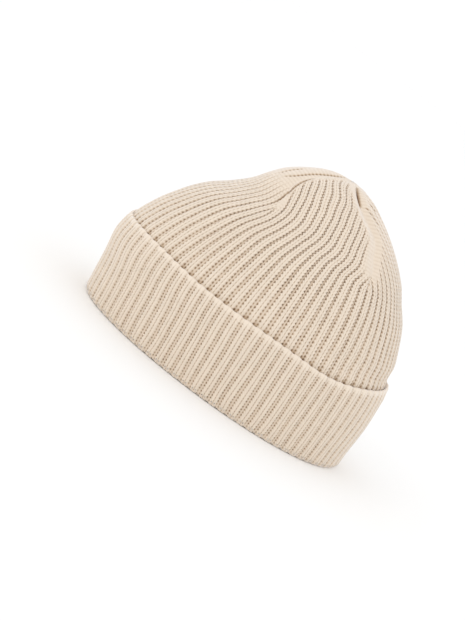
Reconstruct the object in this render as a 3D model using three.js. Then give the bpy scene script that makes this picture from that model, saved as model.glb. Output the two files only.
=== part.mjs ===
// Cuffed rib-knit beanie, standing open on its rim as if worn.
// Millimetres, +Z up. The forehead faces -Y, the nape +Y, and the rim rests on Z = 0.
// The knit is one tube of 2x1 rib: it closes at the top in four mitred darts, and its
// lower end is turned up once, outside, as the cuff.
import * as THREE from 'three';
import { mergeVertices } from 'three/addons/utils/BufferGeometryUtils.js';

// Driving dimensions
const RIBS = 76;
const WALL = 3.2;
const RIB_DEPTH = 1.1;
const RIDGE_HALF = 0.22;
const GAP = 0.3;
const CUFF_HEIGHT = 66;
const CUFF_SIDE_DIP = 2.5;
const CROWN_FOOT = 3.7;
const RIBS_START = 59;
const FRONT_DART_DEPTH = 1.2;
const BACK_DART_DEPTH = 2.2;
const DART_HALF_WIDTH = 5;
const DART_GROWTH = 5;
const DART_END = 0.3;

// How far the cuff stands off in front, most of it part of the way up, and behind
const FRONT_SLACK = 2.4;
const FRONT_SLACK_AT = 47;
const FRONT_SLACK_SPREAD = 14.5;
const BACK_SLACK = 2.5;
const BACK_SLACK_FULL = 46;

// Ribs in the front, left, back and right wedge, and the border after each, in ribs from the
// middle of the forehead
const WEDGE_RIBS = [19, 17, 23, 17];
const BORDERS = [9.5, 26.5, 49.5, 66.5];

// Steps for measuring the smooth surface, the distance under which points are one, and how
// near to a seam a column runs into it
const STEP_UP = 1.5;
const STEP_ROUND = 0.002;
const OUTLINE_STEPS = 720;
const SAME_POINT = 0.02;
const LEAST_CELL = 0.3;

// Sections of the crown's outer face, over the tops of the ribs, from the rim to the apex.
// centre is how far the section lies towards the back; fullness widens its back half. ribs
// is the share of the ribs that the darts leave. frontSeam and backSeam are how far the
// seams have moved, in ribs, away from the middle of the forehead.
const SECTIONS = toRows(
  ['height', 'centre', 'halfLength', 'halfWidth', 'fullness', 'ribs', 'frontSeam', 'backSeam'],
  [
    [0, 2.9, 107.6, 78.2, 0.075, 1, 0, 0],
    [33, 0.6, 108.1, 81.8, 0.06, 1, 0, 0],
    [66, -1.5, 106.3, 84.8, 0.05, 1, 0, 0],
    [78, 0, 103.7, 80.5, 0.04, 1, 0, 0],
    [95, 1.9, 96, 74.5, 0.04, 1, 0, 0],
    [110, 4, 86.4, 68.3, 0.03, 1, 0, 0],
    [122, 6.5, 74.3, 62, 0.02, 1, 0, 0],
    [132, 7.9, 65.4, 55.6, 0.02, 0.9, 0.2, 0.1],
    [142, 6.3, 56.5, 48.2, 0.01, 0.795, -0.7, 0.6],
    [152, 4.1, 45.9, 39.5, 0, 0.61, -1.8, 1.4],
    [161, 3.1, 32.8, 28.8, 0, 0.395, -2.1, -1.2],
    [168, 2.8, 19.2, 16, 0, 0.25, -1.7, -3.4],
    [171.7, 2, 0, 0, 0, 0, -1.6, -3.8],
  ],
);

// Heights of the mesh rows: outside above the cuff, outside hidden in the cuff, and inside
const CROWN_ROWS = [66, 80, 95, 108, 118, 127, 136, 145, 153, 160, 166, 170];
const CUFF_WALL_ROWS = [22, 44];
const HIDDEN_ROWS = [CROWN_FOOT, ...CUFF_WALL_ROWS, RIBS_START];
const LINING_ROWS = [CROWN_FOOT, 22, 46, 66, 80, 98, 114, 130, 144, 156, 165];

// The cuff's cross-section, from the inside of the rim round the fold and up to the free
// edge. out is measured from the tops of the ribs, up from the rim or the free edge.
const FOOT_DEPTH = 2 * WALL + GAP;
const FOLD = [
  { out: -FOOT_DEPTH, up: WALL, ribbed: 0 },
  { out: 0.9 - FOOT_DEPTH, up: 0.9, ribbed: 0 },
  { out: 2.4 - FOOT_DEPTH, up: 0, ribbed: 0 },
  { out: -2.6, up: 0, ribbed: 0 },
  { out: -0.9, up: 0.9, ribbed: 0.6 },
  { out: -0.1, up: 3.2, ribbed: 1 },
];
const FREE_EDGE = [
  { out: 0, up: -2.4, ribbed: 1 },
  { out: -0.9, up: -0.5, ribbed: 0.7 },
  { out: -1.8, up: 0, ribbed: 0.3 },
  { out: -WALL, up: -1.4, ribbed: 0 },
];

const FULL_TURN = 2 * Math.PI;

// Gives each number of a table's rows the name of its column
function toRows(names, rows) {
  return rows.map((row) => Object.fromEntries(names.map((name, i) => [name, row[i]])));
}

// One smooth curve through the sections, measured along the middle of front, back and side
const keys = Object.keys(SECTIONS[0]);
const shrinking = ['halfLength', 'halfWidth', 'ribs'];
const reach = (row) => (row.halfLength + row.halfWidth) / 2;
const lengthAt = [0];
for (let i = 1; i < SECTIONS.length; i++) {
  const rise = SECTIONS[i].height - SECTIONS[i - 1].height;
  const shrink = reach(SECTIONS[i]) - reach(SECTIONS[i - 1]);
  lengthAt.push(lengthAt[i - 1] + Math.hypot(rise, shrink));
}
const APEX_LENGTH = lengthAt[SECTIONS.length - 1];

// The slope at a section; past the apex the same curve comes down the other side
function slopeAt(key, i) {
  const last = SECTIONS.length - 1;
  if (i === 0) {
    return (SECTIONS[1][key] - SECTIONS[0][key]) / lengthAt[1];
  }
  if (i === last) {
    const isShrinking = shrinking.includes(key);
    return isShrinking ? -SECTIONS[last - 1][key] / (lengthAt[last] - lengthAt[last - 1]) : 0;
  }
  const before = (SECTIONS[i][key] - SECTIONS[i - 1][key]) / (lengthAt[i] - lengthAt[i - 1]);
  const after = (SECTIONS[i + 1][key] - SECTIONS[i][key]) / (lengthAt[i + 1] - lengthAt[i]);
  const share = (lengthAt[i] - lengthAt[i - 1]) / (lengthAt[i + 1] - lengthAt[i - 1]);
  return before * (1 - share) + after * share;
}

function sectionAt(length) {
  let i = 0;
  while (i < SECTIONS.length - 2 && length > lengthAt[i + 1]) {
    i += 1;
  }
  const span = lengthAt[i + 1] - lengthAt[i];
  const t = (length - lengthAt[i]) / span;
  const row = {};
  for (const key of keys) {
    const a = SECTIONS[i][key];
    const b = SECTIONS[i + 1][key];
    const a1 = slopeAt(key, i) * span;
    const b1 = slopeAt(key, i + 1) * span;
    row[key] = a + t * (a1 + t * (3 * (b - a) - 2 * a1 - b1 + t * (2 * (a - b) + a1 + b1)));
  }
  return row;
}

function lengthAtHeight(height) {
  let low = 0;
  let high = APEX_LENGTH;
  for (let step = 0; step < 40; step++) {
    const middle = (low + high) / 2;
    if (sectionAt(middle).height < height) {
      low = middle;
    } else {
      high = middle;
    }
  }
  return (low + high) / 2;
}

// The angle, from the front round by +X, at which a share of a section's outline is passed
const outlines = new Map();
function outlineOf(length) {
  if (!outlines.has(length)) {
    const row = sectionAt(length);
    const passed = [0];
    let before = outlinePoint(row, 0);
    for (let i = 1; i <= OUTLINE_STEPS; i++) {
      const next = outlinePoint(row, (i / OUTLINE_STEPS) * FULL_TURN);
      passed.push(passed[i - 1] + before.distanceTo(next));
      before = next;
    }
    outlines.set(length, { row, passed });
  }
  return outlines.get(length);
}

function outlinePoint(row, angle) {
  const x = row.halfWidth * Math.sin(angle) * (1 - row.fullness * Math.cos(angle));
  const y = row.centre - row.halfLength * Math.cos(angle);
  return new THREE.Vector3(x, y, row.height);
}

// A point of the smooth hat; share runs 0 to 1 round it from the front by way of +X
function smoothPoint(length, share) {
  const { row, passed } = outlineOf(length);
  const whole = passed[OUTLINE_STEPS];
  const target = (share - Math.floor(share)) * whole;
  let low = 0;
  let high = OUTLINE_STEPS;
  while (high - low > 1) {
    const middle = (low + high) >> 1;
    if (passed[middle] <= target) {
      low = middle;
    } else {
      high = middle;
    }
  }
  const part = (target - passed[low]) / Math.max(passed[high] - passed[low], 1e-9);
  return outlinePoint(row, ((low + part) / OUTLINE_STEPS) * FULL_TURN);
}

// The outward direction of the smooth hat
function outward(length, share) {
  const inner = Math.min(length, APEX_LENGTH - 2 * STEP_UP);
  const up = smoothPoint(inner + STEP_UP, share).sub(smoothPoint(inner - STEP_UP, share));
  const round = smoothPoint(inner, share + STEP_ROUND).sub(smoothPoint(inner, share - STEP_ROUND));
  return round.cross(up).normalize();
}

function ease(value) {
  const t = Math.min(Math.max(value, 0), 1);
  return t * t * (3 - 2 * t);
}

// The share of all ribs that is left: 1 below the darts and 0 at the apex
function ribsLeft(length) {
  return Math.min(outlineOf(length).row.ribs, 1);
}

// Each side's pair of seams moves alike, counted away from the forehead
function seamShare(seam, length) {
  const { frontSeam, backSeam } = outlineOf(length).row;
  const moved = [frontSeam, backSeam, -backSeam, -frontSeam][seam];
  return (BORDERS[seam] + moved) / RIBS;
}

// The shares at which a wedge starts and ends; wedge 0 is the front one
function wedgeShares(wedge, length) {
  const last = BORDERS.length - 1;
  const from = wedge === 0 ? seamShare(last, length) - 1 : seamShare(wedge - 1, length);
  return { from, to: seamShare(wedge, length) };
}

// The share at which a rib lies, counted from its wedge's middle; at a seam it is held there
function ribShare(wedge, rib, length) {
  const { from, to } = wedgeShares(wedge, length);
  const share = (from + to) / 2 + rib / (RIBS * Math.max(ribsLeft(length), 1e-6));
  const least = LEAST_CELL / Math.max(outlineOf(length).passed[OUTLINE_STEPS], 1e-6);
  if (share < from + least) {
    return from;
  }
  return share > to - least ? to : share;
}

// How far the knit is drawn in by the nearest dart seam
function dartDip(length, share) {
  const row = outlineOf(length);
  const whole = row.passed[OUTLINE_STEPS];
  const left = ribsLeft(length);
  const grown = ease((1 - left) * DART_GROWTH) * (DART_END + (1 - DART_END) * ease(left / DART_END));
  let dip = 0;
  for (let seam = 0; seam < BORDERS.length; seam++) {
    const apart = Math.abs(((share - seamShare(seam, length) + 1.5) % 1) - 0.5) * whole;
    const isBack = seam === 1 || seam === 2;
    const depth = isBack ? BACK_DART_DEPTH : FRONT_DART_DEPTH;
    dip += depth * Math.exp(-((apart / DART_HALF_WIDTH) ** 2));
  }
  return grown * Math.min(dip, BACK_DART_DEPTH);
}

function knitPoint(length, share, inset) {
  const inwards = outward(length, share).multiplyScalar(-(inset + dartDip(length, share)));
  return smoothPoint(length, share).add(inwards);
}

// Columns round the hat: a groove and the two edges of the ridge for each rib
const COLUMNS = [];
for (let wedge = 0; wedge < WEDGE_RIBS.length; wedge++) {
  for (let k = 0; k < WEDGE_RIBS[wedge]; k++) {
    const middle = k - (WEDGE_RIBS[wedge] - 1) / 2;
    COLUMNS.push({ wedge, rib: middle - 0.5, groove: true });
    COLUMNS.push({ wedge, rib: middle - RIDGE_HALF, groove: false });
    COLUMNS.push({ wedge, rib: middle + RIDGE_HALF, groove: false });
  }
}
const GROOVES = COLUMNS.filter((column) => column.groove);

// Rings of points are sewn together into one closed skin
class Skin {
  constructor() {
    this.corners = [];
  }

  triangle(a, b, c) {
    const shortest = Math.min(a.distanceTo(b), b.distanceTo(c), c.distanceTo(a));
    if (shortest >= SAME_POINT) {
      this.corners.push(...a.toArray(), ...b.toArray(), ...c.toArray());
    }
  }

  // Sews two rings; the second may have more points than the first, or the first than the second
  sew(lower, upper) {
    const most = Math.max(lower.length, upper.length);
    for (let i = 0; i < most; i++) {
      const [a, b] = this.pair(lower, i, most);
      const [c, d] = this.pair(upper, i, most);
      this.triangle(a, b, d);
      this.triangle(a, d, c);
    }
  }

  // A ring with fewer points stays at one point for a whole rib and moves on at its ridge
  pair(ring, i, most) {
    const every = most / ring.length;
    const at = (n) => ring[Math.floor((n + (every > 1 ? 1 : 0)) / every) % ring.length];
    return [at(i), at(i + 1)];
  }

  cap(ring, middle) {
    for (let i = 0; i < ring.length; i++) {
      this.triangle(ring[i], ring[(i + 1) % ring.length], middle);
    }
  }

  mesh(name, material) {
    const loose = new THREE.BufferGeometry();
    loose.setAttribute('position', new THREE.Float32BufferAttribute(this.corners, 3));
    const geometry = mergeVertices(loose, 1e-3);
    geometry.computeVertexNormals();
    const mesh = new THREE.Mesh(geometry, material);
    mesh.name = name;
    return mesh;
  }
}

// Ribs that have run into a seam end in its groove
function crownRing(height, columns, inset, ribDepth) {
  const length = lengthAtHeight(height);
  return columns.map((column) => {
    const share = ribShare(column.wedge, column.rib, length);
    const { from, to } = wedgeShares(column.wedge, length);
    const isLow = column.groove || share === from || share === to;
    return knitPoint(length, share, inset + (isLow ? ribDepth : 0));
  });
}

function makeCrown(material) {
  const skin = new Skin();
  const rings = HIDDEN_ROWS.map((height) => crownRing(height, GROOVES, 0, 0));
  CROWN_ROWS.forEach((height) => rings.push(crownRing(height, COLUMNS, 0, RIB_DEPTH)));
  for (let i = 1; i < rings.length; i++) {
    skin.sew(rings[i - 1], rings[i]);
  }
  skin.cap(rings[rings.length - 1], knitPoint(APEX_LENGTH, 0, 0));

  const inside = LINING_ROWS.map((height) => crownRing(height, GROOVES, WALL, 0));
  for (let i = 1; i < inside.length; i++) {
    skin.sew(inside[i], inside[i - 1]);
  }
  const ceiling = knitPoint(APEX_LENGTH, 0, WALL);
  skin.cap(inside[inside.length - 1].slice().reverse(), ceiling);
  skin.sew(inside[0], rings[0]);
  return skin.mesh('crown', material);
}

// How far the turned-up knit stands off the crown beneath it
function slack(share, height) {
  const facing = Math.cos(share * FULL_TURN);
  const bulge = FRONT_SLACK * Math.exp(-(((height - FRONT_SLACK_AT) / FRONT_SLACK_SPREAD) ** 2));
  const flare = BACK_SLACK * ease(height / BACK_SLACK_FULL);
  return facing ** 2 * (facing > 0 ? bulge : flare);
}

// A point of the cuff, set out level from the crown's face at the same height
function cuffPoint(column, out, height) {
  const length = lengthAtHeight(Math.max(height, 0.01));
  const share = ribShare(column.wedge, column.rib, length);
  const side = outward(length, share).setZ(0).normalize();
  const apart = GAP + WALL + out + slack(share, height);
  return smoothPoint(length, share).addScaledVector(side, apart).setZ(height);
}

function freeEdgeHeight(column) {
  const share = ribShare(column.wedge, column.rib, 0);
  return CUFF_HEIGHT - CUFF_SIDE_DIP * Math.sin(share * FULL_TURN) ** 2;
}

function makeCuff(material) {
  const skin = new Skin();
  const ring = (columns, step, fromTop) => columns.map((column) => {
    const sunk = column.groove ? RIB_DEPTH * step.ribbed : 0;
    const base = fromTop ? freeEdgeHeight(column) : 0;
    return cuffPoint(column, step.out - sunk, base + step.up);
  });
  const rings = FOLD.map((step) => ring(step.ribbed ? COLUMNS : GROOVES, step, false));
  CUFF_WALL_ROWS.forEach((up) => rings.push(ring(COLUMNS, { out: 0, up, ribbed: 1 }, false)));
  FREE_EDGE.forEach((step) => rings.push(ring(step.ribbed ? COLUMNS : GROOVES, step, true)));
  for (const up of [RIBS_START, ...CUFF_WALL_ROWS.slice().reverse(), WALL]) {
    rings.push(ring(GROOVES, { out: -WALL, up, ribbed: 0 }, false));
  }
  for (let i = 1; i < rings.length; i++) {
    skin.sew(rings[i - 1], rings[i]);
  }
  skin.sew(rings[rings.length - 1], rings[0]);
  return skin.mesh('cuff', material);
}

const cottonKnit = () => new THREE.MeshStandardMaterial({
  color: 0xf0e2d0,
  roughness: 0.92,
  metalness: 0,
});

const beanie = new THREE.Group();
beanie.add(makeCrown(cottonKnit()), makeCuff(cottonKnit()));

export default beanie;
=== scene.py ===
# Looks for the cuffed rib-knit beanie, built stitch by stitch round its CAD frame.
# Shapes are worked out in millimetres, as in the part's source, and turned into metres
# when a mesh is made. The forehead faces -Y, the nape +Y and the rim rests on Z = 0.
import math

import bpy
import numpy as np
from mathutils import Matrix, Vector


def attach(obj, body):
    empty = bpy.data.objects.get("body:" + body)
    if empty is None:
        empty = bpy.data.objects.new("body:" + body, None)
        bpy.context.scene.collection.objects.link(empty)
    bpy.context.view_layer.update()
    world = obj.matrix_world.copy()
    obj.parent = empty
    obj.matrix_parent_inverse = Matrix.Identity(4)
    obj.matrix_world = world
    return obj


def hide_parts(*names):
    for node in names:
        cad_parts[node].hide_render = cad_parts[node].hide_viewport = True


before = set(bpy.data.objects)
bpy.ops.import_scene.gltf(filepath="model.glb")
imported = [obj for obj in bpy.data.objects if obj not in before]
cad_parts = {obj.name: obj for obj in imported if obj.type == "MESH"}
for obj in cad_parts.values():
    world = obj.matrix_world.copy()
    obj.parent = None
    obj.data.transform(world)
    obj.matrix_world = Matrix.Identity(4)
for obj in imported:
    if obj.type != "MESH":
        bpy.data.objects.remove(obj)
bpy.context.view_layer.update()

MM = 0.001

# The hat's driving sizes, the same as the part's
RIBS = 76
WALL = 3.2
GAP = 0.3
CUFF_HEIGHT = 66
CROWN_FOOT = 3.7
FRONT_DART_DEPTH = 1.2
BACK_DART_DEPTH = 2.2
DART_HALF_WIDTH = 5
DART_GROWTH = 5
DART_END = 0.3
FRONT_SLACK = 2.4
FRONT_SLACK_AT = 47
FRONT_SLACK_SPREAD = 14.5
BACK_SLACK = 2.5
BACK_SLACK_FULL = 46

# The four wedges between the darts, how many ribs each has, the border after each, in ribs
# from the middle of the forehead, the number of the wedge that mirrors it, and which way
# round leads to the back on the side wedges
WEDGES = ("front", "left", "back", "right")
WEDGE_RIBS = (19, 17, 23, 17)
BORDERS = (9.5, 26.5, 49.5, 66.5)
MIRRORED = (0, 3, 2, 1)
REARWARD = (0, 1, 0, -1)

# For measuring the smooth surface: steps up the hat, in millimetres, and round it, as a
# share, how many steps the tables have up and round it and the girth has, how near to the
# apex an outline is still measured, how many halvings find a height, and the least share
# of the ribs that a rib's width is worked out with
STEP_UP = 1.5
STEP_ROUND = 0.002
TABLE_ROWS = 260
TABLE_SHARES = 1440
GIRTH_STEPS = 360
NEAR_APEX = 0.05
HALVINGS = 40
LEAST_LEFT = 0.02

# Sections of the crown's outer face over the tops of the ribs, from the rim to the apex:
# height, centre, half length, half width, fullness behind, share of the ribs that the darts
# leave, how far the front and the back seams have moved, in ribs, how far the ribs of the
# side wedges lie behind the middle of their wedge, in ribs of the rim, and the share of the
# ribs that is left on the front wedge
SECTIONS = np.array([
    (0, 2.9, 107.6, 78.2, 0.075, 1, 0, 0, 0, 1),
    (33, 0.6, 108.1, 81.8, 0.06, 1, 0, 0, 0, 1),
    (66, -1.5, 106.3, 84.8, 0.05, 1, 0, 0, 0, 1),
    (78, 0, 103.7, 80.5, 0.04, 1, 0, 0, 0, 1),
    (95, 1.9, 96, 74.5, 0.04, 1, 0, 0, 0, 1),
    (110, 4, 86.4, 68.3, 0.03, 1, 0, 0, 0, 1),
    (122, 6.5, 74.3, 62, 0.02, 1, 0, 0, 0, 1),
    (132, 7.9, 65.4, 55.6, 0.02, 0.9, 0.2, 0.1, 0, 0.97),
    (142, 6.3, 56.5, 48.2, 0.01, 0.795, -0.7, 0.6, 0, 0.96),
    (152, 4.1, 45.9, 39.5, 0, 0.61, -1.8, 1.4, 0.5, 0.93),
    (161, 3.1, 32.8, 28.8, 0, 0.395, -2.1, -1.2, 1.7, 0.85),
    (168, 2.8, 19.2, 16, 0, 0.25, -1.7, -3.4, -1.2, 0.6),
    (171.7, 2, 0, 0, 0, 0, -1.6, -3.8, -5, 0),
])
HEIGHT, CENTRE, HALF_LENGTH, HALF_WIDTH, FULLNESS = range(5)
RIBS_LEFT, FRONT_SEAM, BACK_SEAM, DRIFT, FRONT_LEFT = range(5, 10)
SHRINKING = (HALF_LENGTH, HALF_WIDTH, RIBS_LEFT, FRONT_LEFT)

# Stitches: how high one is on the cuff and on the crown, the steps that each is drawn in,
# how far the middle of a wale hangs below its edges, in stitches, the height from which the
# crown is stitched, because the cuff hides it below, and the heights of its plain rows there
ROW = 2.3
CROWN_ROW = 2.75
ROW_STEPS = 4
MID_STITCH = ROW_STEPS // 2
V_RISE = 0.9
KNIT_FROM = 57
HIDDEN_HEIGHTS = (CROWN_FOOT, 22, 38, 50)

# Half of one rib, from the line between its two knit wales out to the middle of the purl
# groove beside it. place runs 0 to 1 over the band or over half of the groove. Each other
# pair is the value on the cuff, then the value high on the crown: depth is how far the knit
# lies under the rib's top; crease is the dip between one stitch and the next; hole is the
# pit that comes once a row, half a row later on the other side of the groove; shade is the
# painted shade in the recess and along the line between the wales, and dark the painted
# shadow that the pit adds to it.
HALF_RIB = [
    {"part": "band", "place": 0.00, "depth": (0.36, 0.22), "crease": (0.22, 0.16),
     "hole": (0, 0), "shade": (0.20, 0.08), "dark": (0.38, 0.46)},
    {"part": "band", "place": 0.22, "depth": (0.08, 0.06), "crease": (0.24, 0.22),
     "hole": (0, 0), "shade": (0, 0), "dark": (0, 0)},
    {"part": "band", "place": 0.50, "depth": (0.08, 0.08), "crease": (0.22, 0.20),
     "hole": (0, 0), "shade": (0, 0), "dark": (0, 0)},
    {"part": "band", "place": 0.80, "depth": (0.06, 0.08), "crease": (0.22, 0.20),
     "hole": (0, 0), "shade": (0, 0), "dark": (0, 0)},
    {"part": "band", "place": 0.98, "depth": (0.34, 0.34), "crease": (0.16, 0.16),
     "hole": (0.15, 0.2), "shade": (0, 0.02), "dark": (0.1, 0.2)},
    {"part": "groove", "place": 0.12, "depth": (0.75, 0.75), "crease": (0.05, 0.05),
     "hole": (0.25, 0.3), "shade": (0, 0.05), "dark": (0.2, 0.35)},
    {"part": "groove", "place": 0.38, "depth": (1.50, 1.45), "crease": (0, 0),
     "hole": (0.95, 1.0), "shade": (0.14, 0.19), "dark": (0.82, 1.25)},
    {"part": "groove", "place": 0.70, "depth": (1.25, 1.3), "crease": (0, 0),
     "hole": (0.35, 0.5), "shade": (0.12, 0.18), "dark": (0.3, 0.45)},
    {"part": "groove", "place": 1.00, "depth": (1.2, 1.2), "crease": (0, 0),
     "hole": (0, 0), "shade": (0.10, 0.18), "dark": (0, 0)},
]

# How much of the values high on the crown its lowest ribs have, and the heights between
# which that grows to the whole
HIGH_LEAST = 0.25
HIGH_FROM = 72
HIGH_FULL = 122

# Half the width of the purl groove, and how far the edges of the stitches swing sideways,
# both as a share of a rib, on the cuff and at heights on the crown. The swing starts at
# BAND_EDGE, as a share of the way to the groove.
CUFF_GROOVE = 0.22
GROOVE_AT = [(66, 0.245), (85, 0.215), (100, 0.185), (118, 0.14), (140, 0.11), (172, 0.095)]
CUFF_ZIGZAG = 0.018
ZIGZAG_AT = [(66, CUFF_ZIGZAG), (118, 0.08)]
BAND_EDGE = 0.6

# How sharp the crease between two stitches is and how much painted shade darkens it, and
# the depth of an average pit
CREASE_POWER = 1.5
CREASE_SHADE = 0.07
PIT_LEVEL = 0.35

# Small unevenness: the seeds of its random draws, how much the pits and the stitches differ,
# and slow waves of the ribs sideways, in ribs, and of the wall outwards, in millimetres, as
# size, waves round the hat, waves to a metre of height and start. The waves grow from the
# rim to the height WAVES_FROM.
CROWN_SEED = 10
CUFF_SEED = 20
PIT_SPREAD = (0.55, 1.25)
STITCH_SPREAD = 0.035
RIB_WAVES = [(0.05, 7, 4, 0.4), (0.04, 13, -6, 2.1), (0.03, 23, 8, 4.4)]
WALL_WAVES = [(0.25, 3, 6, 1.0), (0.2, 5, -9, 3.3), (0.12, 11, 14, 5.2)]
WAVES_FROM = 14

# Half of one rib of the inside: the purl backs of the band and the knit back of the groove,
# with a bead for each stitch. shade is painted shade, most in the band's deep recess, and
# BEAD_LIT is the painted light that makes each bead lighter than the dip beside it
HALF_LINING = [
    {"part": "band", "place": 0.0, "depth": 0.80, "bead": 0.15, "shade": 0.35},
    {"part": "band", "place": 0.45, "depth": 0.85, "bead": 0.30, "shade": 0.35},
    {"part": "band", "place": 0.85, "depth": 0.60, "bead": 0.15, "shade": 0.30},
    {"part": "groove", "place": 0.40, "depth": 0.05, "bead": 0.10, "shade": 0.05},
    {"part": "groove", "place": 1.0, "depth": 0.15, "bead": 0.10, "shade": 0.10},
]
LINING_GROOVE = 0.16
BEAD_LIT = 0.1

# The plain knit along the dart seams: its depth and painted shade, the same of the creases
# between its rows, how far from the seam its rows are whole, and how soon the darts bring it
# about
SEAM_DEPTH = -0.3
SEAM_SHADE = 0.04
SEAM_CREASE = 0.16
SEAM_CREASE_SHADE = 0.1
SEAM_PLAIN = 2
SEAM_GROWTH = 8

# How far from a seam the ribs end and from where on they are whole, for the seams where
# each wedge starts and ends
RIBS_END = (
    ((0.3, 1.5), (0.3, 1.5)),
    ((2.2, 4.6), (5, 11)),
    ((4.5, 10), (4.5, 10)),
    ((5, 11), (2.2, 4.6)),
)

# How strong the ribs of each wedge are at heights on the crown
RIBS_FADE = (
    [(128, 1), (138, 0.5), (146, 0.12), (157, 0)],
    [(0, 1), (172, 1)],
    [(138, 1), (150, 0.6), (160, 0.4)],
    [(0, 1), (172, 1)],
)

# How far the ribs of the side wedges bow back, in ribs, and how much larger a share of them
# is left behind the middle of the wedge than before it, both as rows with the height first
SIDE_BOW = [(66, 0), (90, -0.25), (110, -0.45), (125, -0.45), (132, -0.3), (137, 0), (142, 0.22),
            (147, 0.25), (152, 0), (157, -0.2), (161, -0.15), (166, 0)]
REAR_LEFT = [(142, 0), (152, 0.05), (157, 0.11), (161, 0.145), (165, 0.11), (169, 0)]

# Lines sunk along the seams and darkened with painted shade, and light folds raised beside
# them, on the wearer's left and mirrored on the right: the wedge that they lie on, the seam
# that they follow (0 where the wedge starts, 1 where it ends), their width, depth and painted
# shade, how much they break up into a dot for each row, and their path as rows of height on
# the crown, distance from the seam and strength
SEAM_LINES = [
    {"wedge": 0, "seam": 1, "spread": 0.65, "depth": 0.8, "shade": 0.95, "dots": 0.6,
     "path": [(130, 5.6, 0), (136.5, 2.5, 0.7), (140, 1.2, 0.9), (144.5, 0, 1)]},
    {"wedge": 1, "seam": 0, "spread": 0.75, "depth": 0.8, "shade": 1.0, "dots": 0.6,
     "path": [(141, 0, 0), (144, 0.3, 1), (151, 1.5, 1), (156, 0.9, 0.9), (161, 0.5, 0)]},
    {"wedge": 0, "seam": 1, "spread": 0.8, "depth": 0.7, "shade": 0.95, "dots": 0.85,
     "path": [(147, 15.5, 0), (149.5, 11.5, 0.6), (151.5, 9, 1), (153.5, 7, 1),
              (156.5, 5.5, 1), (161, 4.4, 1), (165, 3.1, 1), (169, 1.9, 1), (171, 1.5, 0.5)]},
    {"wedge": 0, "seam": 1, "spread": 0.8, "depth": 0.5, "shade": 0.7, "dots": 0.85,
     "path": [(146, 22, 0), (149, 19, 1), (153, 16, 1), (157, 14, 1), (160, 12.5, 0)]},
    {"wedge": 1, "seam": 1, "spread": 0.9, "depth": 1.8, "shade": 0.6, "dots": 0.1,
     "path": [(163, 0, 0), (164.5, 0, 0.5), (168.5, 0, 0.5), (170.5, 0, 0.2)]},
    {"wedge": 2, "seam": 0, "spread": 0.95, "depth": 1.5, "shade": 1.2, "dots": 0.1,
     "path": [(163.6, 0, 0), (165.2, 0.2, 1), (168.8, 0.7, 1), (171, 1.4, 0.4)]},
    {"wedge": 2, "seam": 0, "spread": 2.6, "depth": -0.8, "shade": 0, "dots": 0,
     "path": [(158, 5, 0), (163, 4.5, 1), (168, 4.5, 1), (170.5, 4.5, 0)]},
    {"wedge": 2, "seam": 0, "spread": 0.9, "depth": 0.6, "shade": 1.1, "dots": 1,
     "path": [(158.6, 13, 0), (159.8, 11, 1), (161.4, 8, 1), (163.5, 5, 1), (164.6, 4, 0)]},
    {"wedge": 2, "seam": 0, "spread": 0.9, "depth": 0.6, "shade": 1.1, "dots": 1,
     "path": [(164.4, 16, 0), (165, 14.8, 1), (166.6, 11, 1), (167.5, 9, 0)]},
]

# A border between wedges lies in the middle of a groove. LEAST_CELL is how near to a seam a
# column of points runs into it, and APEX_LEFT how far from the apex the last row lies, on
# the outside and in the lining.
BORDER_DEPTH = HALF_RIB[-1]["depth"][0]
BORDER_SHADE = HALF_RIB[-1]["shade"][0]
LEAST_CELL = 0.15
APEX_LEFT = 1.2
LINING_APEX_LEFT = 3 * APEX_LEFT

# The cuff's fold: how far out and up it rounds, in how many rows, and how much of the ribs'
# relief there is where it rests
FOLD_OUT = 2.9
FOLD_UP = 4.2
FOLD_ROWS = 8
FOLD_RELIEF = 0.35

# The lip under the crown's foot, from its inner end to where the fold rests: the place of
# each row, outwards and up, where the knit faces there and how much of the ribs shows
LIP = [
    {"out": -6.7, "up": 3.2, "face_out": -1, "face_up": 0, "relief": 0},
    {"out": -5.9, "up": 1.0, "face_out": -0.8, "face_up": -0.6, "relief": 0},
    {"out": -4.4, "up": 0, "face_out": 0, "face_up": -1, "relief": FOLD_RELIEF},
]

# The cuff's rounded free edge: how high and how thick it is, its rows and how far it turns,
# how much of the ribs' relief it has, over what reach below it that grows to the whole and
# how soon it fades round it, how deep, how sharply and how far down it dips between the
# ribs, and how far inwards it may face and still dip
EDGE_UP = 2.0
EDGE_OUT = 3.2
EDGE_ROWS = 9
EDGE_TURN = 1.15 * np.pi
EDGE_RELIEF = 0.45
EDGE_PLAIN = 3.2
EDGE_FADE = 1.6
SCALLOP = 0.45
SCALLOP_POWER = 4
SCALLOP_REACH = 3.5
NOT_INSIDE = -0.9

# The V of the stitches shows where the cuff faces straight out and has enough relief. The
# inside of the cuff is smooth, with rows at these heights.
STRAIGHT_OUT = 0.99
ENOUGH_RELIEF = 0.5
CUFF_INSIDE = (58, 44, 22, WALL)

# How far the free edge stands over its plain height: rows of the share of the way round,
# from the front at 0 to the back at 0.5, and of that distance
EDGE_LINE = [(0, -2.6), (0.03, -1.9), (0.06, -1.1), (0.11, -1.0), (0.165, -2.4), (0.2, -2.4),
             (0.25, -2.1), (0.283, -2.2), (0.305, -2.8), (0.333, -3.9), (0.352, -4.0),
             (0.372, -3.2), (0.385, -2.2), (0.4, -1.1), (0.42, 0.3), (0.45, 1.4), (0.5, 2.7)]

# The cuff thins towards its free edge: the height from which it does, the reach over which
# it grows and the share of the thickness that goes, in front and behind
EDGE_THIN_FROM = 57
EDGE_THIN_REACH = 6
EDGE_THIN_FRONT = 0.25
EDGE_THIN_BACK = 0.1

# The slack behind lessens towards the free edge: from which height, over which reach and by
# what share
BACK_SLACK_END = 58
BACK_SLACK_REACH = 10
BACK_SLACK_LOSS = 0.46

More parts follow.
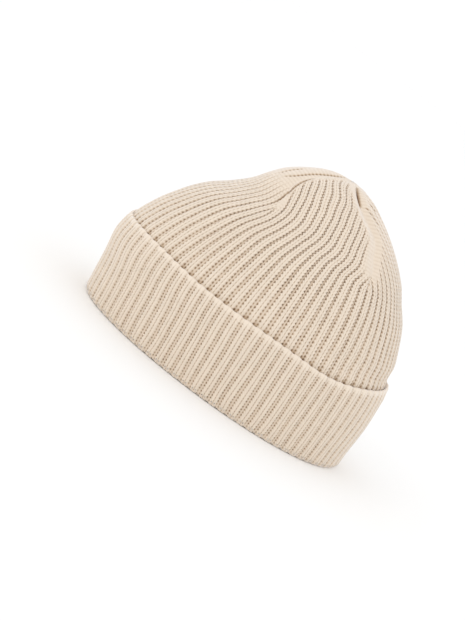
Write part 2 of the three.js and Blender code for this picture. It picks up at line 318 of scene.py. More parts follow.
# The crown swells out over the cuff: rows of height, swell at the front, swell at the back
CROWN_SWELL = [(50, 0, 0), (57, 0.9, 1.0), (62, 2.1, 1.8), (67, 2.1, 1.9), (70, 1.8, 1.0),
               (73, 1.5, 0.1), (75, 1.3, 0.1), (82, 1.0, 0.7), (95, 0.5, 0.2), (110, 0, 0)]

# Painted shade in the crown's grooves where they run in under the cuff's free edge: from how
# far above it, over which reach and by how much
UNDER_EDGE_UP = 3
UNDER_EDGE_REACH = 3
UNDER_EDGE_SHADE = 0.2

# Colours, linear: the yarn's own on the ribs, the painted shade in the recesses and the
# painted shadow down in the holes, the shade that has the recesses' colour, and how wide a
# rib of the yarn is, for the size of its fibres
YARN_LIT = (0.82, 0.71, 0.59)
RECESS_PAINTED_SHADE = (0.47, 0.335, 0.215)
HOLE_PAINTED_SHADOW = (0.17, 0.088, 0.042)
RECESS_AT = 0.45
RIB_WIDTH = 7.8

# Studio
FLOOR_RADIUS = 6
FLOOR_CORNERS = 96
FLOOR_COLOUR = (0.95, 0.95, 0.95)
FLOOR_ROUGHNESS = 0.9
WORLD_STRENGTH = 1.06
LIGHT_AIM = (0, 0, 0.08)
LIGHTS = [
    {"name": "key", "place": (1.3, -1.8, 1.3), "size": 1.6, "power": 5},
    {"name": "fill", "place": (1.6, 1.2, 1.4), "size": 1.6, "power": 1},
]

# Camera, fitted to the photograph: distances in millimetres, angles in degrees
FRAME_PIXELS = (465, 620)
FOCAL_PIXELS = 1976.35
SENSOR = 36
VIEW_AZIMUTH = 83.41
VIEW_ELEVATION = 9.05
VIEW_ROLL = -36.47
VIEW_DISTANCE = 1400
VIEW_TARGET = (0, 0.1, 85)
TARGET_PIXEL = (278.83, 278.67)


# The smooth hat


def lengths_along():
    """The length up the hat's side at each section."""
    reach = (SECTIONS[:, HALF_LENGTH] + SECTIONS[:, HALF_WIDTH]) / 2
    steps = np.hypot(np.diff(SECTIONS[:, HEIGHT]), np.diff(reach))
    return np.concatenate([[0], np.cumsum(steps)])


LENGTH_AT = lengths_along()
APEX = LENGTH_AT[-1]


def section_slopes():
    """Slopes at the sections; past the apex the same curve comes down the other side."""
    rates = np.diff(SECTIONS, axis=0) / np.diff(LENGTH_AT)[:, None]
    slopes = np.empty_like(SECTIONS, dtype=float)
    slopes[0] = rates[0]
    share = ((LENGTH_AT[1:-1] - LENGTH_AT[:-2]) / (LENGTH_AT[2:] - LENGTH_AT[:-2]))[:, None]
    slopes[1:-1] = rates[:-1] * (1 - share) + rates[1:] * share
    slopes[-1] = np.where(np.isin(np.arange(SECTIONS.shape[1]), SHRINKING), rates[-1], 0)
    return slopes


SLOPES = section_slopes()


def section_at(length):
    """The section's values, stacked last, at each length."""
    length = np.asarray(length, dtype=float)
    i = np.clip(np.searchsorted(LENGTH_AT, length, side="left") - 1, 0, len(LENGTH_AT) - 2)
    span = (LENGTH_AT[i + 1] - LENGTH_AT[i])[..., None]
    t = (length[..., None] - LENGTH_AT[i][..., None]) / span
    a, b = SECTIONS[i], SECTIONS[i + 1]
    a1, b1 = SLOPES[i] * span, SLOPES[i + 1] * span
    return a + t * (a1 + t * (3 * (b - a) - 2 * a1 - b1 + t * (2 * (a - b) + a1 + b1)))


def length_at_height(height):
    """The length at which the smooth hat reaches a height."""
    low, high = 0.0, APEX
    for _ in range(HALVINGS):
        middle = (low + high) / 2
        if section_at(middle)[HEIGHT] < height:
            low = middle
        else:
            high = middle
    return (low + high) / 2


KNIT_LENGTH = length_at_height(KNIT_FROM)


def outline_point(section, angle):
    """A point of a section's outline; the angle is 0 in front and grows by way of +X."""
    wide = 1 - section[..., FULLNESS] * np.cos(angle)
    x = section[..., HALF_WIDTH] * np.sin(angle) * wide
    y = section[..., CENTRE] - section[..., HALF_LENGTH] * np.cos(angle)
    return np.stack(np.broadcast_arrays(x, y, section[..., HEIGHT]), axis=-1)


TABLE_LENGTHS = np.linspace(0, APEX, TABLE_ROWS + 1)
TABLE_HEIGHTS = section_at(TABLE_LENGTHS)[:, HEIGHT]


def angle_table():
    """For lengths up the hat, the angle passed at each equal share of the outline."""
    angles = np.linspace(0, 2 * np.pi, 2 * TABLE_SHARES + 1)
    table = []
    for length in np.minimum(TABLE_LENGTHS, APEX - NEAR_APEX):
        points = outline_point(section_at(length), angles)
        passed = np.cumsum(np.linalg.norm(np.diff(points, axis=0), axis=1))
        passed = np.concatenate([[0], passed])
        table.append(np.interp(np.linspace(0, passed[-1], TABLE_SHARES + 1), passed, angles))
    return np.array(table)


ANGLES = angle_table()


def smooth_point(length, share):
    """A point of the smooth hat; share runs 0 to 1 round it from the front by way of +X."""
    length, share = np.broadcast_arrays(np.asarray(length, float), np.asarray(share, float))
    turns = np.floor(share)
    row = np.clip(length / APEX, 0, 1) * (len(TABLE_LENGTHS) - 1)
    column = (share - turns) * TABLE_SHARES
    i = np.minimum(row.astype(int), len(TABLE_LENGTHS) - 2)
    j = np.minimum(column.astype(int), TABLE_SHARES - 1)
    s, t = row - i, column - j
    low = ANGLES[i, j] * (1 - t) + ANGLES[i, j + 1] * t
    high = ANGLES[i + 1, j] * (1 - t) + ANGLES[i + 1, j + 1] * t
    return outline_point(section_at(length), low * (1 - s) + high * s)


def unit(vectors):
    return vectors / np.maximum(np.linalg.norm(vectors, axis=-1, keepdims=True), 1e-9)


def outward(length, share):
    """The direction straight out of the smooth hat."""
    inner = np.minimum(length, APEX - 2 * STEP_UP)
    up = smooth_point(inner + STEP_UP, share) - smooth_point(inner - STEP_UP, share)
    across = smooth_point(inner, share + STEP_ROUND) - smooth_point(inner, share - STEP_ROUND)
    return unit(np.cross(across, up))


def ease(value):
    """0 up to 0 and 1 from 1 on, with a smooth rise between."""
    t = np.clip(value, 0, 1)
    return t * t * (3 - 2 * t)


def ribs_left(length, wedge=1, side=0):
    """The share of a wedge's ribs that is left: 1 below the darts, 0 at the apex.

    side is 1 for the ribs after the middle of the wedge and -1 for those before it.
    """
    row = section_at(length)
    left = row[..., RIBS_LEFT if wedge else FRONT_LEFT]
    is_rear = np.asarray(side) * REARWARD[wedge] > 0
    more = np.interp(row[..., HEIGHT], *np.transpose(REAR_LEFT))
    return np.clip(left + np.where(is_rear, more, 0), 0, 1)


def seam_share(seam, length):
    """The share at which a dart seam lies."""
    row = section_at(length)
    front, back = row[..., FRONT_SEAM], row[..., BACK_SEAM]
    return (BORDERS[seam] + (front, back, -back, -front)[seam]) / RIBS


def wedge_shares(wedge, length):
    """The shares at which a wedge starts and ends; wedge 0 is the front one."""
    start = seam_share(3, length) - 1 if wedge == 0 else seam_share(wedge - 1, length)
    return start, seam_share(wedge, length)


def rib_origin(wedge, length):
    """The share from which a wedge's ribs are counted, in or beside its middle."""
    start, end = wedge_shares(wedge, length)
    drift = REARWARD[wedge] * section_at(length)[..., DRIFT] / RIBS
    return np.clip((start + end) / 2 + drift, start, end)


def rib_share(wedge, rib, length):
    """The share at which a rib lies, cut off at the seams."""
    start, end = wedge_shares(wedge, length)
    across = rib / (RIBS * np.maximum(ribs_left(length, wedge, np.sign(rib)), 1e-6))
    return np.clip(rib_origin(wedge, length) + across, start, end)


def rib_limits(wedge, length):
    """The ribs at which the seams lie where a wedge starts and ends."""
    seams = zip(wedge_shares(wedge, length), (-1, 1))
    origin = rib_origin(wedge, length)
    return tuple((seam - origin) * RIBS * ribs_left(length, wedge, side) for seam, side in seams)


def girth_at(length):
    points = smooth_point(length, np.linspace(0, 1, GIRTH_STEPS + 1))
    return np.linalg.norm(np.diff(points, axis=0), axis=1).sum()


GIRTHS = np.array([girth_at(length) for length in TABLE_LENGTHS])


def girth(length):
    """How far it is round the smooth hat, in millimetres."""
    return np.interp(length, TABLE_LENGTHS, GIRTHS)


def dart_dip(length, share):
    """How far the knit is drawn in by the nearest dart seam."""
    left = ribs_left(length)
    grown = ease((1 - left) * DART_GROWTH) * (DART_END + (1 - DART_END) * ease(left / DART_END))
    dip = 0
    for seam in range(4):
        apart = np.abs((share - seam_share(seam, length) + 1.5) % 1 - 0.5) * girth(length)
        depth = BACK_DART_DEPTH if seam in (1, 2) else FRONT_DART_DEPTH
        dip = dip + depth * np.exp(-((apart / DART_HALF_WIDTH) ** 2))
    return grown * np.minimum(dip, BACK_DART_DEPTH)


def facing_front(share):
    """How much the hat faces the front and how much the back, 0 at its sides."""
    facing = np.cos(2 * np.pi * share)
    return np.maximum(facing, 0), np.maximum(-facing, 0)


def slack(share, height):
    """How far the turned-up knit stands off the crown beneath it."""
    front, back = facing_front(share)
    bulge = FRONT_SLACK * np.exp(-(((height - FRONT_SLACK_AT) / FRONT_SLACK_SPREAD) ** 2))
    flare = BACK_SLACK * ease(height / BACK_SLACK_FULL)
    flare = flare * (1 - BACK_SLACK_LOSS * ease((height - BACK_SLACK_END) / BACK_SLACK_REACH))
    return front ** 2 * bulge + back ** 2 * flare


def swell(share, height):
    """How far the crown swells out above the cuff at the front and the back."""
    rows = np.array(CROWN_SWELL, dtype=float)
    i = np.clip(np.searchsorted(rows[:, 0], height) - 1, 0, len(rows) - 2)
    t = ease((height - rows[i, 0]) / (rows[i + 1, 0] - rows[i, 0]))
    front_swell, back_swell = (rows[i, k] + (rows[i + 1, k] - rows[i, k]) * t for k in (1, 2))
    front, back = facing_front(share)
    return front ** 2 * front_swell + back ** 2 * back_swell


def edge_shift(share):
    """How much higher the cuff's free edge stands than its plain height, alike on both sides."""
    from_front = np.abs((share + 0.5) % 1 - 0.5)
    return np.interp(from_front, *np.transpose(EDGE_LINE))


def side_bow(share, height):
    """How far the ribs of the side wedges bow forwards or back, as a share of the hat."""
    to_side = (share + 0.5) % 1 - 0.5
    across = np.clip((np.abs(to_side) * RIBS - BORDERS[0]) / (BORDERS[1] - BORDERS[0]), 0, 1)
    size = np.interp(height, *np.transpose(SIDE_BOW)) / RIBS
    return np.sign(to_side) * np.sin(np.pi * across) * size


def waves(rows, share, height):
    """The sum of a few slow waves, none of them near the rim."""
    total = 0
    for size, around, upwards, start in rows:
        total = total + size * np.sin(2 * np.pi * (around * share + upwards * height * MM) + start)
    return total * ease(height / WAVES_FROM)


# Meshes


class Shell:
    """Grids of points, sewn into one closed skin of triangles."""

    def __init__(self):
        self.points = np.zeros((0, 3))
        self.values = np.zeros((0, 3))
        self.triangles = []
        self.is_wall = []

    def add(self, points, values):
        """Adds points, each with its rib, its row and its painted shade, and returns their
        numbers.
        """
        first = len(self.points)
        self.points = np.concatenate([self.points, points.reshape(-1, 3)])
        self.values = np.concatenate([self.values, values.reshape(-1, 3)])
        return np.arange(first, len(self.points)).reshape(points.shape[:-1])

    def keep(self, triangles, flip, is_wall):
        a, b, c = triangles.T
        triangles = triangles[(a != b) & (b != c) & (c != a)]
        self.triangles.append(triangles[:, ::-1] if flip else triangles)
        self.is_wall.append(np.full(len(triangles), is_wall))

    def sheet(self, numbers, flip=False):
        """Fills a grid of point numbers, each cell along its shorter diagonal."""
        a, b = numbers[:-1, :-1].ravel(), numbers[:-1, 1:].ravel()
        c, d = numbers[1:, 1:].ravel(), numbers[1:, :-1].ravel()
        one = np.linalg.norm(self.points[a] - self.points[c], axis=1)
        other = np.linalg.norm(self.points[b] - self.points[d], axis=1)
        is_one = (one <= other)[:, None]
        first = np.where(is_one, np.stack([a, b, c], 1), np.stack([a, b, d], 1))
        second = np.where(is_one, np.stack([a, c, d], 1), np.stack([b, c, d], 1))
        self.keep(np.concatenate([first, second]), flip, False)

    def strip(self, first, second, flip=False):
        """Fills the wall between two lines of point numbers, nearest points together."""
        made = []
        i = j = 0
        while i < len(first) - 1 or j < len(second) - 1:
            move_first = j == len(second) - 1
            if not move_first and i < len(first) - 1:
                over = np.linalg.norm(self.points[first[i + 1]] - self.points[second[j]])
                under = np.linalg.norm(self.points[first[i]] - self.points[second[j + 1]])
                move_first = over < under
            if move_first:
                made.append((first[i], first[i + 1], second[j]))
                i += 1
            else:
                made.append((first[i], second[j + 1], second[j]))
                j += 1
        self.keep(np.array(made), flip, True)

    def make(self, name, material):
        """Makes the skin's object, in metres, without the points that no triangle uses."""
        used, corners = np.unique(np.concatenate(self.triangles), return_inverse=True)
        corners = corners.ravel().astype(np.int32)
        points = (self.points[used] * MM).astype(np.float32)
        values = self.values[used].astype(np.float32)
        mesh = bpy.data.meshes.new(name)
        mesh.vertices.add(len(points))
        mesh.vertices.foreach_set("co", points.ravel())
        mesh.loops.add(len(corners))
        mesh.loops.foreach_set("vertex_index", corners)
        mesh.polygons.add(len(corners) // 3)
        mesh.polygons.foreach_set("loop_start", np.arange(0, len(corners), 3, dtype=np.int32))
        mesh.polygons.foreach_set("use_smooth", ~np.concatenate(self.is_wall))
        mesh.update(calc_edges=True)
        mesh.uv_layers.new(name="knit").data.foreach_set("uv", values[corners, :2].ravel())
        mesh.attributes.new("shade", "FLOAT", "POINT").data.foreach_set("value", values[:, 2])
        mesh.validate()
        mesh.materials.append(material)
        piece = bpy.data.objects.new(name, mesh)
        bpy.context.collection.objects.link(piece)
        return piece


# Knit


class Layout:
    """Columns over one wedge's ribs, without its two border columns, from half a rib's table."""

    def __init__(self, half_rib, ribs):
        self.half_rib = half_rib
        self.ribs = ribs
        self.is_groove = self.over([row["part"] == "groove" for row in half_rib]).astype(bool)
        self.place = self.over([row["place"] for row in half_rib])
        half = len(half_rib) - 1
        self.side = self.over_wedge(np.repeat([-1, 0, 1], [half, 1, half - 1]))
        order = np.repeat(np.arange(ribs), 2 * half)[1:]
        self.number = order - (ribs - 1) / 2
        self.half = 2 * order + (self.side > 0)

    def over_wedge(self, per_rib):
        return np.tile(per_rib, self.ribs)[1:]

    def over(self, half):
        half = np.array(half, dtype=float)
        return self.over_wedge(np.concatenate([half[:0:-1], half[:-1]]))

    def column(self, key, high=None):
        if high is None:
            return self.over([row[key] for row in self.half_rib])
        low_value, high_value = (self.over([row[key][i] for row in self.half_rib]) for i in (0, 1))
        return low_value + (high_value - low_value) * high[:, None]

    def places(self, groove):
        """Each column's place in its rib, in ribs from the rib's middle, for each row."""
        band = 0.5 - groove[:, None]
        in_band = self.place * band
        in_groove = band + self.place * groove[:, None]
        return self.side * np.where(self.is_groove, in_groove, in_band)


def crease_wave(phase):
    """1 in the crease between two stitches, 0 in the middle of a stitch."""
    return (0.5 + 0.5 * np.cos(2 * np.pi * phase)) ** CREASE_POWER


def per_stitch(layout, steps, seed, low, high):
    """A random number for each stitch and half of a rib, the same over the whole stitch."""
    later = np.where(layout.side > 0, 0, MID_STITCH)
    row = ((steps[:, None] + later) // ROW_STEPS).astype(int)
    chance = np.random.default_rng(seed).uniform(low, high, (row.max() + 1, 2 * layout.ribs))
    return chance[row, layout.half]


def outside_knit(layout, steps, groove, zigzag, high, seed):
    """The outside's ribs, lean, depth and painted shade, for rows numbered in quarter stitches."""
    phase = ((steps % ROW_STEPS) / ROW_STEPS)[:, None]
    places = layout.places(groove)
    half_band = 0.5 - groove[:, None]
    lean = np.clip(1 - np.abs(np.abs(places) / half_band * 2 - 1), 0, 1)
    edge = ease((np.abs(places) / half_band - BAND_EDGE) / (1 - BAND_EDGE))
    rib = layout.number + places + zigzag[:, None] * np.cos(2 * np.pi * phase) * edge
    later = np.where(layout.side > 0, 0.5, 0.0)
    pit = crease_wave(phase + later) * per_stitch(layout, steps, seed, *PIT_SPREAD)
    depth = layout.column("depth", high) + layout.column("crease", high) * crease_wave(phase)
    depth = depth + layout.column("hole", high) * (pit - PIT_LEVEL)
    depth = depth + per_stitch(layout, steps, seed + 1, -STITCH_SPREAD, STITCH_SPREAD)
    # Painted shadow in the pits and painted shade in the recesses and the creases between stitches
    shade = layout.column("shade", high) + layout.column("dark", high) * pit
    shade = shade + np.where(layout.is_groove, 0, CREASE_SHADE * crease_wave(phase))
    return rib, lean, depth, shade


def lining_knit(layout, steps):
    """The inside's ribs, depth from the inner face and painted shade, for rows in half stitches.
    """
    places = layout.places(np.full(len(steps), LINING_GROOVE))
    on_bead = np.where(steps % 2, 1.0, 0.0)[:, None]
    depth = layout.column("depth") - layout.column("bead") * on_bead
    return layout.number + places, depth, layout.column("shade") - BEAD_LIT * on_bead


def rib_pitch(wedge, length):
    """How wide a wedge's ribs are, in millimetres."""
    return girth(length) / RIBS / np.maximum(ribs_left(length, wedge), LEAST_LEFT)


def from_seams(wedge, rib, length):
    """How far a rib is from each of its wedge's seams, in millimetres."""
    start, end = wedge_shares(wedge, length)
    share = rib_share(wedge, rib, length)
    return [apart * girth(length) for apart in (share - start, end - share)]


def seam_growth(length):
    """0 below the darts and 1 from a little above their start on."""
    return ease((1 - ribs_left(length)) * SEAM_GROWTH)


def stitched_from_seams(wedge, rib, length):
    """0 at a dart seam and 1 from about a stitch beside it on."""
    stitched = 1
    for apart in from_seams(wedge, rib, length):
        stitched = stitched * ease(apart / SEAM_PLAIN)
    return 1 - seam_growth(length) * (1 - stitched)


def free_of_seams(wedge, rib, length):
    """0 where the knit is plain along a dart seam, 1 beyond its reach and below the darts."""
    free = np.interp(section_at(length)[..., HEIGHT], *np.transpose(RIBS_FADE[wedge]))
    for apart, (ends, whole) in zip(from_seams(wedge, rib, length), RIBS_END[wedge]):
        free = free * (1 - seam_growth(length) * (1 - ease((apart - ends) / (whole - ends))))
    return free


def seam_lines(wedge, rib, length):
    """The depth and the painted shade that the lines along the seams add."""
    height = section_at(length)[..., HEIGHT]
    apart = from_seams(wedge, rib, length)
    wave = crease_wave((length - KNIT_LENGTH) / CROWN_ROW)
    depth = shade = 0
    for line in SEAM_LINES:
        heights, places, strengths = np.transpose(line["path"])
        at = np.interp(height, heights, places)
        strength = np.interp(height, heights, strengths, left=0, right=0)
        mirrored = (MIRRORED[line["wedge"]], 1 - line["seam"])
        for place in {(line["wedge"], line["seam"]), mirrored}:
            if place[0] == wedge:
                near = np.exp(-((apart[place[1]] - at) / line["spread"]) ** 2) * strength
                depth = depth + line["depth"] * near
                shade = shade + line["shade"] * near * (1 - line["dots"] * (1 - wave))
    return depth, shade


def crown_point(wedge, rib, length, depth):
    """A point of the crown, a depth in millimetres under the tops of its ribs."""
    share = rib_share(wedge, rib, length)
    height = section_at(length)[..., HEIGHT]
    inset = depth + dart_dip(length, share) - waves(WALL_WAVES, share, height)
    inset = inset - swell(share, height)
    moved = share + waves(RIB_WAVES, share, height) / RIBS + side_bow(share, height)
    return smooth_point(length, moved) - outward(length, moved) * inset[..., None]


def crown_sheet(shell, wedge, lengths, rib, lean, depth, shade, sign):
    """Adds one face of a wedge of the crown and returns its grid of point numbers.

    Ribs that have run into a dart seam end in the seam's own points. sign is 1 on the
    outside and -1 on the inside, where depth is measured from the inner face.
    """
    base = 0 if sign > 0 else WALL
    length = lengths[:, None]
    free = free_of_seams(wedge, rib, length)
    stitched = stitched_from_seams(wedge, rib, length)
    along = length - V_RISE * CROWN_ROW * lean * free
    line_depth, line_shade = seam_lines(wedge, rib, length) if sign > 0 else (0, 0)
    plain = (1 - free) * stitched * crease_wave((length - KNIT_LENGTH) / CROWN_ROW) * (sign > 0)
    level = SEAM_DEPTH + (depth - SEAM_DEPTH) * free + SEAM_CREASE * plain + line_depth
    depth = base + sign * level
    # Painted shade: the ribs' own, fading to the seam's plain knit, its creases and the seam lines
    shade = SEAM_SHADE + (shade - SEAM_SHADE) * free + SEAM_CREASE_SHADE * plain + line_shade
    limits = rib_limits(wedge, length)
    inner = crown_point(wedge, np.clip(rib, *limits), along, depth)
    rows = np.broadcast_to(length / CROWN_ROW, rib.shape)
    numbers = shell.add(inner, np.stack([rib, rows, shade + 0 * rib], axis=-1))

    borders = []
    for limit in limits:
        seam_rib = limit[:, 0]
        still_free = free_of_seams(wedge, seam_rib, lengths)
        line_depth, line_shade = seam_lines(wedge, seam_rib, lengths) if sign > 0 else (0, 0)
        level = SEAM_DEPTH + (BORDER_DEPTH - SEAM_DEPTH) * still_free + line_depth
        dark = SEAM_SHADE + (BORDER_SHADE - SEAM_SHADE) * still_free + line_shade
        edge = crown_point(wedge, seam_rib, lengths, base + sign * level)
        borders.append(shell.add(edge, np.stack([seam_rib, lengths / CROWN_ROW, dark], axis=-1)))

    reach = LEAST_CELL / rib_pitch(wedge, length)
    numbers = np.where(rib < limits[0] + reach, borders[0][:, None], numbers)
    numbers = np.where(rib > limits[1] - reach, borders[1][:, None], numbers)
    return np.column_stack([borders[0], numbers, borders[1]])


def with_apex(shell, numbers, depth, shade):
    """The grid with one more row, in which all its columns end at the apex."""
    top = crown_point(0, np.zeros(1), np.array([APEX]), np.array([depth]))
    apex = shell.add(top, np.array([[0, APEX / CROWN_ROW, shade]]))
    return np.vstack([numbers, np.full(numbers.shape[1], apex[0])])


def crown_wedge(wedge, material):
    """One wedge of the crown, knitted outside and inside and closed at its edges."""
    shell = Shell()
    outside = Layout(HALF_RIB, WEDGE_RIBS[wedge])
    inside = Layout(HALF_LINING, WEDGE_RIBS[wedge])
    steps = np.arange(int((APEX - APEX_LEFT - KNIT_LENGTH) / CROWN_ROW) * ROW_STEPS + 1)
    hidden = np.array(HIDDEN_HEIGHTS, dtype=float)
    lengths = np.concatenate([hidden, KNIT_LENGTH + steps * CROWN_ROW / ROW_STEPS])
    steps = np.concatenate([np.full(len(hidden), MID_STITCH), steps])
    heights = section_at(lengths)[:, HEIGHT]
    groove = np.interp(heights, *np.transpose(GROOVE_AT))
    zigzag = np.interp(heights, *np.transpose(ZIGZAG_AT))
    high = HIGH_LEAST + (1 - HIGH_LEAST) * ease((heights - HIGH_FROM) / (HIGH_FULL - HIGH_FROM))
    seed = CROWN_SEED + wedge
    rib, lean, depth, shade = outside_knit(outside, steps, groove, zigzag, high, seed)
    lean[:len(hidden) + 1] = 0
    # Painted shade in the grooves that run in under the cuff's free edge
    share = rib_share(wedge, rib, lengths[:, None])
    over_edge = heights[:, None] - CUFF_HEIGHT - edge_shift(share)
    under_edge = ease((UNDER_EDGE_UP - over_edge) / UNDER_EDGE_REACH)
    shade = shade + under_edge * UNDER_EDGE_SHADE * outside.is_groove
    outer = crown_sheet(shell, wedge, lengths, rib, lean, depth, shade, 1)
    outer = with_apex(shell, outer, SEAM_DEPTH, SEAM_SHADE)

    foot = length_at_height(CROWN_FOOT)
    steps = np.arange(int((APEX - LINING_APEX_LEFT - foot) / CROWN_ROW) * 2 + 1)
    lengths = foot + steps * CROWN_ROW / 2
    rib, depth, shade = lining_knit(inside, steps)
    inner = crown_sheet(shell, wedge, lengths, rib, 0 * rib, depth, shade, -1)
    inner = with_apex(shell, inner, WALL, SEAM_SHADE)

    shell.sheet(outer)
    shell.sheet(inner, flip=True)
    shell.strip(outer[:, 0], inner[:, 0])
    shell.strip(outer[:, -1], inner[:, -1], flip=True)
    shell.strip(outer[0], inner[0], flip=True)
    return shell.make(f"crown_knit_{WEDGES[wedge]}", material)


def cuff_point(wedge, rib, out, height):
    """A point of the cuff, set out level from the crown's face at the same height."""
    length = np.interp(np.maximum(height, 0), TABLE_HEIGHTS, TABLE_LENGTHS)
    share = rib_share(wedge, rib, np.zeros_like(rib))
    apart = GAP + WALL + out + slack(share, height) + waves(WALL_WAVES, share, height)
    share = share + waves(RIB_WAVES, share, height) / RIBS
    side = outward(length, share)
    side[..., 2] = 0
    point = smooth_point(length, share) + unit(side) * apart[..., None]
    point[..., 2] = height
    return point


def cuff_profile():
    """Rows round the cuff's section from the lip inside the rim, as named columns.

    out and up place the row's point, face_out and face_up say where the knit faces there,
    relief is how much of the ribs shows, step counts the quarter stitches and top is how
    far the row moves with the line of the free edge.
    """
    rows = [dict(row, step=MID_STITCH, top=0) for row in LIP]
    for i, angle in enumerate(np.linspace(0, np.pi / 2, FOLD_ROWS)):
        rows.append(dict(
            out=FOLD_OUT * (np.sin(angle) - 1), up=FOLD_UP * (1 - np.cos(angle)),
            face_out=np.sin(angle), face_up=-np.cos(angle),
            relief=FOLD_RELIEF + (1 - FOLD_RELIEF) * ease(i / (FOLD_ROWS - 1)), step=i, top=0,
        ))
    edge_foot = CUFF_HEIGHT - EDGE_UP
    count = int((edge_foot - FOLD_UP) / ROW * ROW_STEPS)
    for i in range(1, count + 1):
        up = FOLD_UP + (edge_foot - FOLD_UP) * i / count
        left = (count - i) * ROW / ROW_STEPS
        rows.append(dict(
            out=0, up=up, face_out=1, face_up=0,
            relief=EDGE_RELIEF + (1 - EDGE_RELIEF) * ease(left / EDGE_PLAIN),
            step=FOLD_ROWS - 1 + i, top=up / edge_foot,
        ))
    for angle in np.linspace(0, EDGE_TURN, EDGE_ROWS)[1:]:
        rows.append(dict(
            out=EDGE_OUT * (np.cos(angle) - 1) / 2, up=edge_foot + EDGE_UP * np.sin(angle),
            face_out=np.cos(angle), face_up=np.sin(angle),
            relief=EDGE_RELIEF * (1 - ease(angle / np.pi * EDGE_FADE)), step=MID_STITCH, top=1,
        ))
    for up in CUFF_INSIDE:
        rows.append(dict(
            out=-WALL, up=up, face_out=-1, face_up=0, relief=0, step=MID_STITCH,
            top=up / CUFF_HEIGHT,
        ))
    return rows


def cuff_quarter(wedge, material):
    """The part of the cuff round one wedge's ribs."""
    shell = Shell()
    rows = cuff_profile()
    out, up, face_out, face_up, relief, step, top = (
        np.array([row[key] for row in rows], dtype=float)[:, None]
        for key in ("out", "up", "face_out", "face_up", "relief", "step", "top")
    )
    layout = Layout(HALF_RIB, WEDGE_RIBS[wedge])
    groove = np.full(len(rows), CUFF_GROOVE)
    zigzag = np.full(len(rows), CUFF_ZIGZAG)
    low = np.zeros(len(rows))
    seed = CUFF_SEED + wedge
    rib, lean, depth, shade = outside_knit(layout, step[:, 0], groove, zigzag, low, seed)
    is_stitched = (face_out > STRAIGHT_OUT) & (relief > ENOUGH_RELIEF)
    border = np.full((len(rows), 1), WEDGE_RIBS[wedge] / 2)
    rib = np.hstack([-border, rib, border])
    ends = ((lean, 0), (depth, BORDER_DEPTH), (shade, BORDER_SHADE))
    lean, depth, shade = (np.pad(a, ((0, 0), (1, 1)), constant_values=v) for a, v in ends)
    share = rib_share(wedge, rib, np.zeros_like(rib))
    front, back = facing_front(share)
    near = ease((up - EDGE_THIN_FROM) / EDGE_THIN_REACH)
    out = out * (1 - near * (EDGE_THIN_FRONT * front ** 2 + EDGE_THIN_BACK * back ** 2))
    depth = depth * relief
    near_edge = ease(1 - (CUFF_HEIGHT - EDGE_UP - up) / SCALLOP_REACH)
    near_edge = near_edge * (face_out > NOT_INSIDE)
    between = np.cos(np.pi * (rib + WEDGE_RIBS[wedge] / 2)) ** SCALLOP_POWER
    height = up + top * edge_shift(share) - V_RISE * ROW * lean * is_stitched - face_up * depth
    height = height - SCALLOP * between * near_edge
    points = cuff_point(wedge, rib, out - face_out * depth, height)
    shade = shade * relief
    numbers = shell.add(points, np.stack([rib, height / ROW, shade], axis=-1))
    shell.sheet(np.vstack([numbers, numbers[:1]]))
    highest = int(np.argmax(up[:, 0]))
    for column, flip in ((0, False), (-1, True)):
        shell.strip(numbers[:highest + 1, column], numbers[:highest - 1:-1, column], flip)
    return shell.make(f"cuff_knit_{WEDGES[wedge]}", material)


# Materials


def node(tree, kind, settings=(), **values):
    made = tree.nodes.new(kind)
    for key, value in dict(settings).items():
        setattr(made, key, value)
    for key, value in values.items():
        made.inputs[key.replace("_", " ")].default_value = value
    return made


def cotton_knit(name):
    """Matt cotton yarn with painted shade, darker and warmer in the recesses and darkest in the
    holes, with twisted fibres.
    """
    material = bpy.data.materials.new(name)
    material.use_nodes = True
    tree = material.node_tree
    link = tree.links.new
    shader = tree.nodes["Principled BSDF"]
    shader.inputs["Roughness"].default_value = 0.95
    shader.inputs["Specular IOR Level"].default_value = 0.2
    shader.inputs["Sheen Weight"].default_value = 1.0
    shader.inputs["Sheen Roughness"].default_value = 0.45
    shader.inputs["Sheen Tint"].default_value = (0.92, 0.91, 0.92, 1)

    # Painted shade: the shade attribute runs from the yarn's own colour to the recesses' painted
    # shade and the holes' painted shadow
    shade = node(tree, "ShaderNodeAttribute", {"attribute_name": "shade"})
    ramp = node(tree, "ShaderNodeValToRGB")
    ramp.color_ramp.elements[0].color = (*YARN_LIT, 1)
    ramp.color_ramp.elements[1].color = (*HOLE_PAINTED_SHADOW, 1)
    middle = ramp.color_ramp.elements.new(RECESS_AT)
    middle.color = (*RECESS_PAINTED_SHADE, 1)
    link(shade.outputs["Fac"], ramp.inputs["Fac"])

    place = node(tree, "ShaderNodeTexCoord")
    mottle = node(tree, "ShaderNodeTexNoise", Scale=220.0, Detail=3.0)
    link(place.outputs["Object"], mottle.inputs["Vector"])
    vary = node(tree, "ShaderNodeMapRange", To_Min=0.95, To_Max=1.05)
    link(mottle.outputs["Fac"], vary.inputs["Value"])
    colour = node(tree, "ShaderNodeMix", {"data_type": "RGBA", "blend_type": "MULTIPLY"})
    colour.inputs["Factor"].default_value = 1.0
    link(ramp.outputs["Color"], colour.inputs["A"])
    link(vary.outputs["Result"], colour.inputs["B"])
    link(colour.outputs["Result"], shader.inputs["Base Color"])

    knit = node(tree, "ShaderNodeUVMap", {"uv_map": "knit"})
    stretch = node(tree, "ShaderNodeMapping", Scale=(RIB_WIDTH, ROW, 1.0))
    link(knit.outputs["UV"], stretch.inputs["Vector"])
    fibres = node(tree, "ShaderNodeTexNoise", Scale=5.0, Detail=4.0)
    link(stretch.outputs["Vector"], fibres.inputs["Vector"])
    bump = node(tree, "ShaderNodeBump", Strength=0.35, Distance=0.0003)
    link(fibres.outputs["Fac"], bump.inputs["Height"])
    link(bump.outputs["Normal"], shader.inputs["Normal"])
    return material


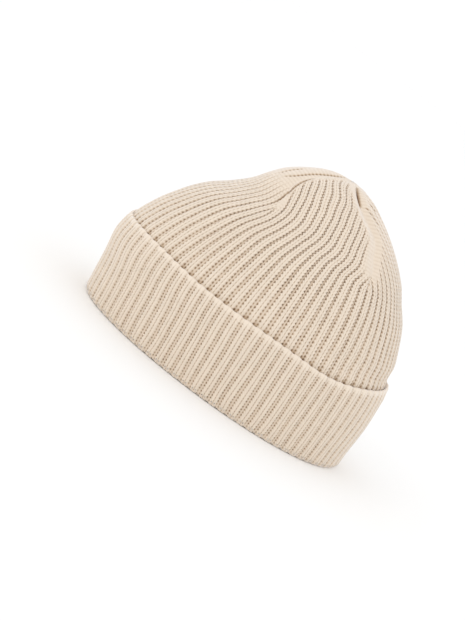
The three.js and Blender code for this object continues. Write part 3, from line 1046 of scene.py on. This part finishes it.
def plain(name, colour, roughness):
    material = bpy.data.materials.new(name)
    material.use_nodes = True
    shader = material.node_tree.nodes["Principled BSDF"]
    shader.inputs["Base Color"].default_value = (*colour, 1)
    shader.inputs["Roughness"].default_value = roughness
    return material


crown_cotton = cotton_knit("crown_cotton")
cuff_cotton = cotton_knit("cuff_cotton")
for wedge in range(len(WEDGES)):
    crown_piece = crown_wedge(wedge, crown_cotton)
    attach(crown_piece, "root")
    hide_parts("crown")
    cuff_piece = cuff_quarter(wedge, cuff_cotton)
    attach(cuff_piece, "root")
    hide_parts("cuff")


# Floor, lights and camera

bpy.ops.mesh.primitive_circle_add(
    vertices=FLOOR_CORNERS, radius=FLOOR_RADIUS, fill_type="NGON",
)
floor = bpy.context.object
floor.name = "floor"
floor.data.materials.append(plain("floor_paper", FLOOR_COLOUR, FLOOR_ROUGHNESS))

world = bpy.context.scene.world
if world is None:
    world = bpy.data.worlds.new("studio")
bpy.context.scene.world = world
world.use_nodes = True
background = world.node_tree.nodes["Background"]
background.inputs["Color"].default_value = (1, 1, 1, 1)
background.inputs["Strength"].default_value = WORLD_STRENGTH


def soft_light(name, place, size, power):
    data = bpy.data.lights.new(name, "AREA")
    data.shape = "DISK"
    data.size = size
    data.energy = power
    lamp = bpy.data.objects.new(name, data)
    lamp.location = place
    aim = Vector(LIGHT_AIM) - Vector(place)
    lamp.rotation_mode = "QUATERNION"
    lamp.rotation_quaternion = aim.to_track_quat("-Z", "Y")
    bpy.context.collection.objects.link(lamp)


for row in LIGHTS:
    soft_light(**row)


def photo_camera():
    """The photograph's view: from the wearer's left, a little above, with the hat tipped."""
    data = bpy.data.cameras.new("photo_camera")
    data.sensor_width = SENSOR
    data.lens = FOCAL_PIXELS / FRAME_PIXELS[1] * SENSOR
    data.clip_start = 0.05
    data.clip_end = 100
    angles = (VIEW_AZIMUTH, VIEW_ELEVATION, VIEW_ROLL)
    turn, rise, roll = (math.radians(angle) for angle in angles)
    ahead = Vector((
        -math.sin(turn) * math.cos(rise), math.cos(turn) * math.cos(rise), -math.sin(rise),
    ))
    level = Vector((math.cos(turn), math.sin(turn), 0))
    upright = level.cross(ahead)
    right = level * math.cos(roll) - upright * math.sin(roll)
    above = level * math.sin(roll) + upright * math.cos(roll)
    place = Vector(VIEW_TARGET) * MM - ahead * VIEW_DISTANCE * MM
    # Turned a little so that the target falls on its pixel
    aside = (TARGET_PIXEL[0] - FRAME_PIXELS[0] / 2) / FOCAL_PIXELS
    over = (FRAME_PIXELS[1] / 2 - TARGET_PIXEL[1]) / FOCAL_PIXELS
    ahead = (ahead - right * aside - above * over).normalized()
    right = (right - ahead * right.dot(ahead)).normalized()
    above = right.cross(ahead)
    camera = bpy.data.objects.new("photo_camera", data)
    axes = Matrix((right, above, -ahead)).transposed()
    camera.matrix_world = Matrix.Translation(place) @ axes.to_4x4()
    bpy.context.collection.objects.link(camera)
    bpy.context.scene.camera = camera


photo_camera()
bpy.context.scene.view_settings.view_transform = "Standard"
